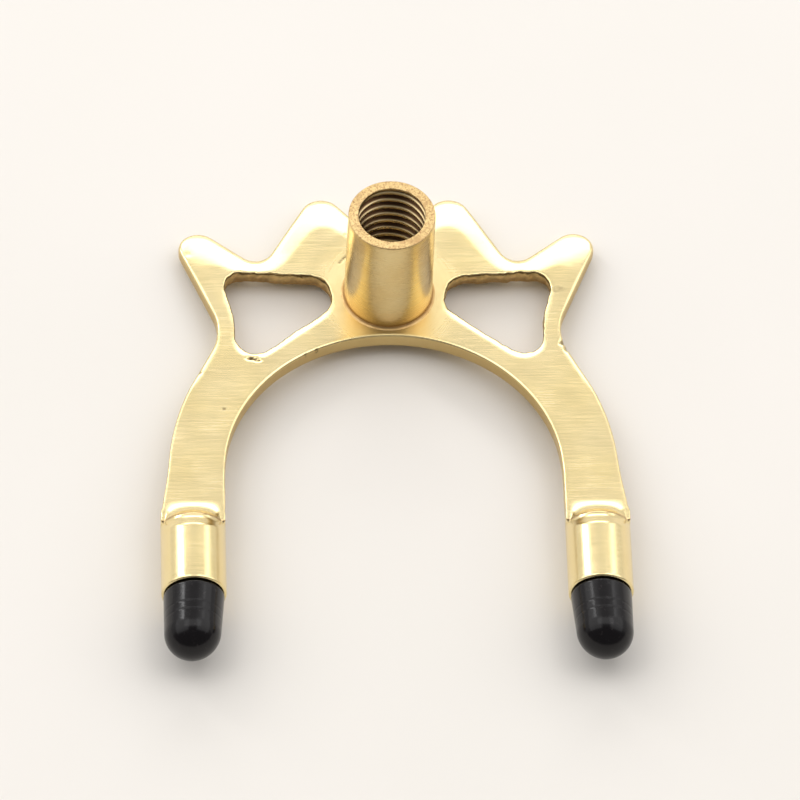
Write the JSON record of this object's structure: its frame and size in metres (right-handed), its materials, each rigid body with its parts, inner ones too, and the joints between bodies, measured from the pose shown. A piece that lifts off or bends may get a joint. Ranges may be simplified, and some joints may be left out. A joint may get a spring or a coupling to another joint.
{
  "type": "cue bridge head",
  "caption": "Cast horseshoe-shaped cue rest head with notched horns, two windows, a threaded socket for the stick and push-on rubber feet.",
  "frame": {"origin": "middle of the bounding box's bottom, with the head lying on its front and the socket standing up", "axes": "+Z along the socket's axis, out of its mouth; +Y towards the horns and -Y towards the rubber feet; X across the head, which is a mirror image of itself about X = 0"},
  "size_m": [0.0962, 0.1158, 0.036],
  "materials": {
    "cast_brass": "cast, sanded satin on the back, with rough as-cast window walls",
    "turned_brass": "turned and polished, with a rough sawn mouth",
    "braze": "thin fillet of braze, darkened",
    "black_rubber": "smooth moulded rubber, slightly glossy"
  },
  "bodies": {
    "head": {"cast_head": "cast_brass", "threaded_socket": "turned_brass", "braze_ring": "braze"},
    "left_foot": {"left_foot": "black_rubber"},
    "right_foot": {"right_foot": "black_rubber"}
  },
  "joints": [
    {"name": "left_foot_pull", "type": "slide", "parent": "head", "child": "left_foot", "axis": [0, -1, 0], "range_m": [0, 0.009]},
    {"name": "right_foot_pull", "type": "slide", "parent": "head", "child": "right_foot", "axis": [0, -1, 0], "range_m": [0, 0.009]}
  ]
}
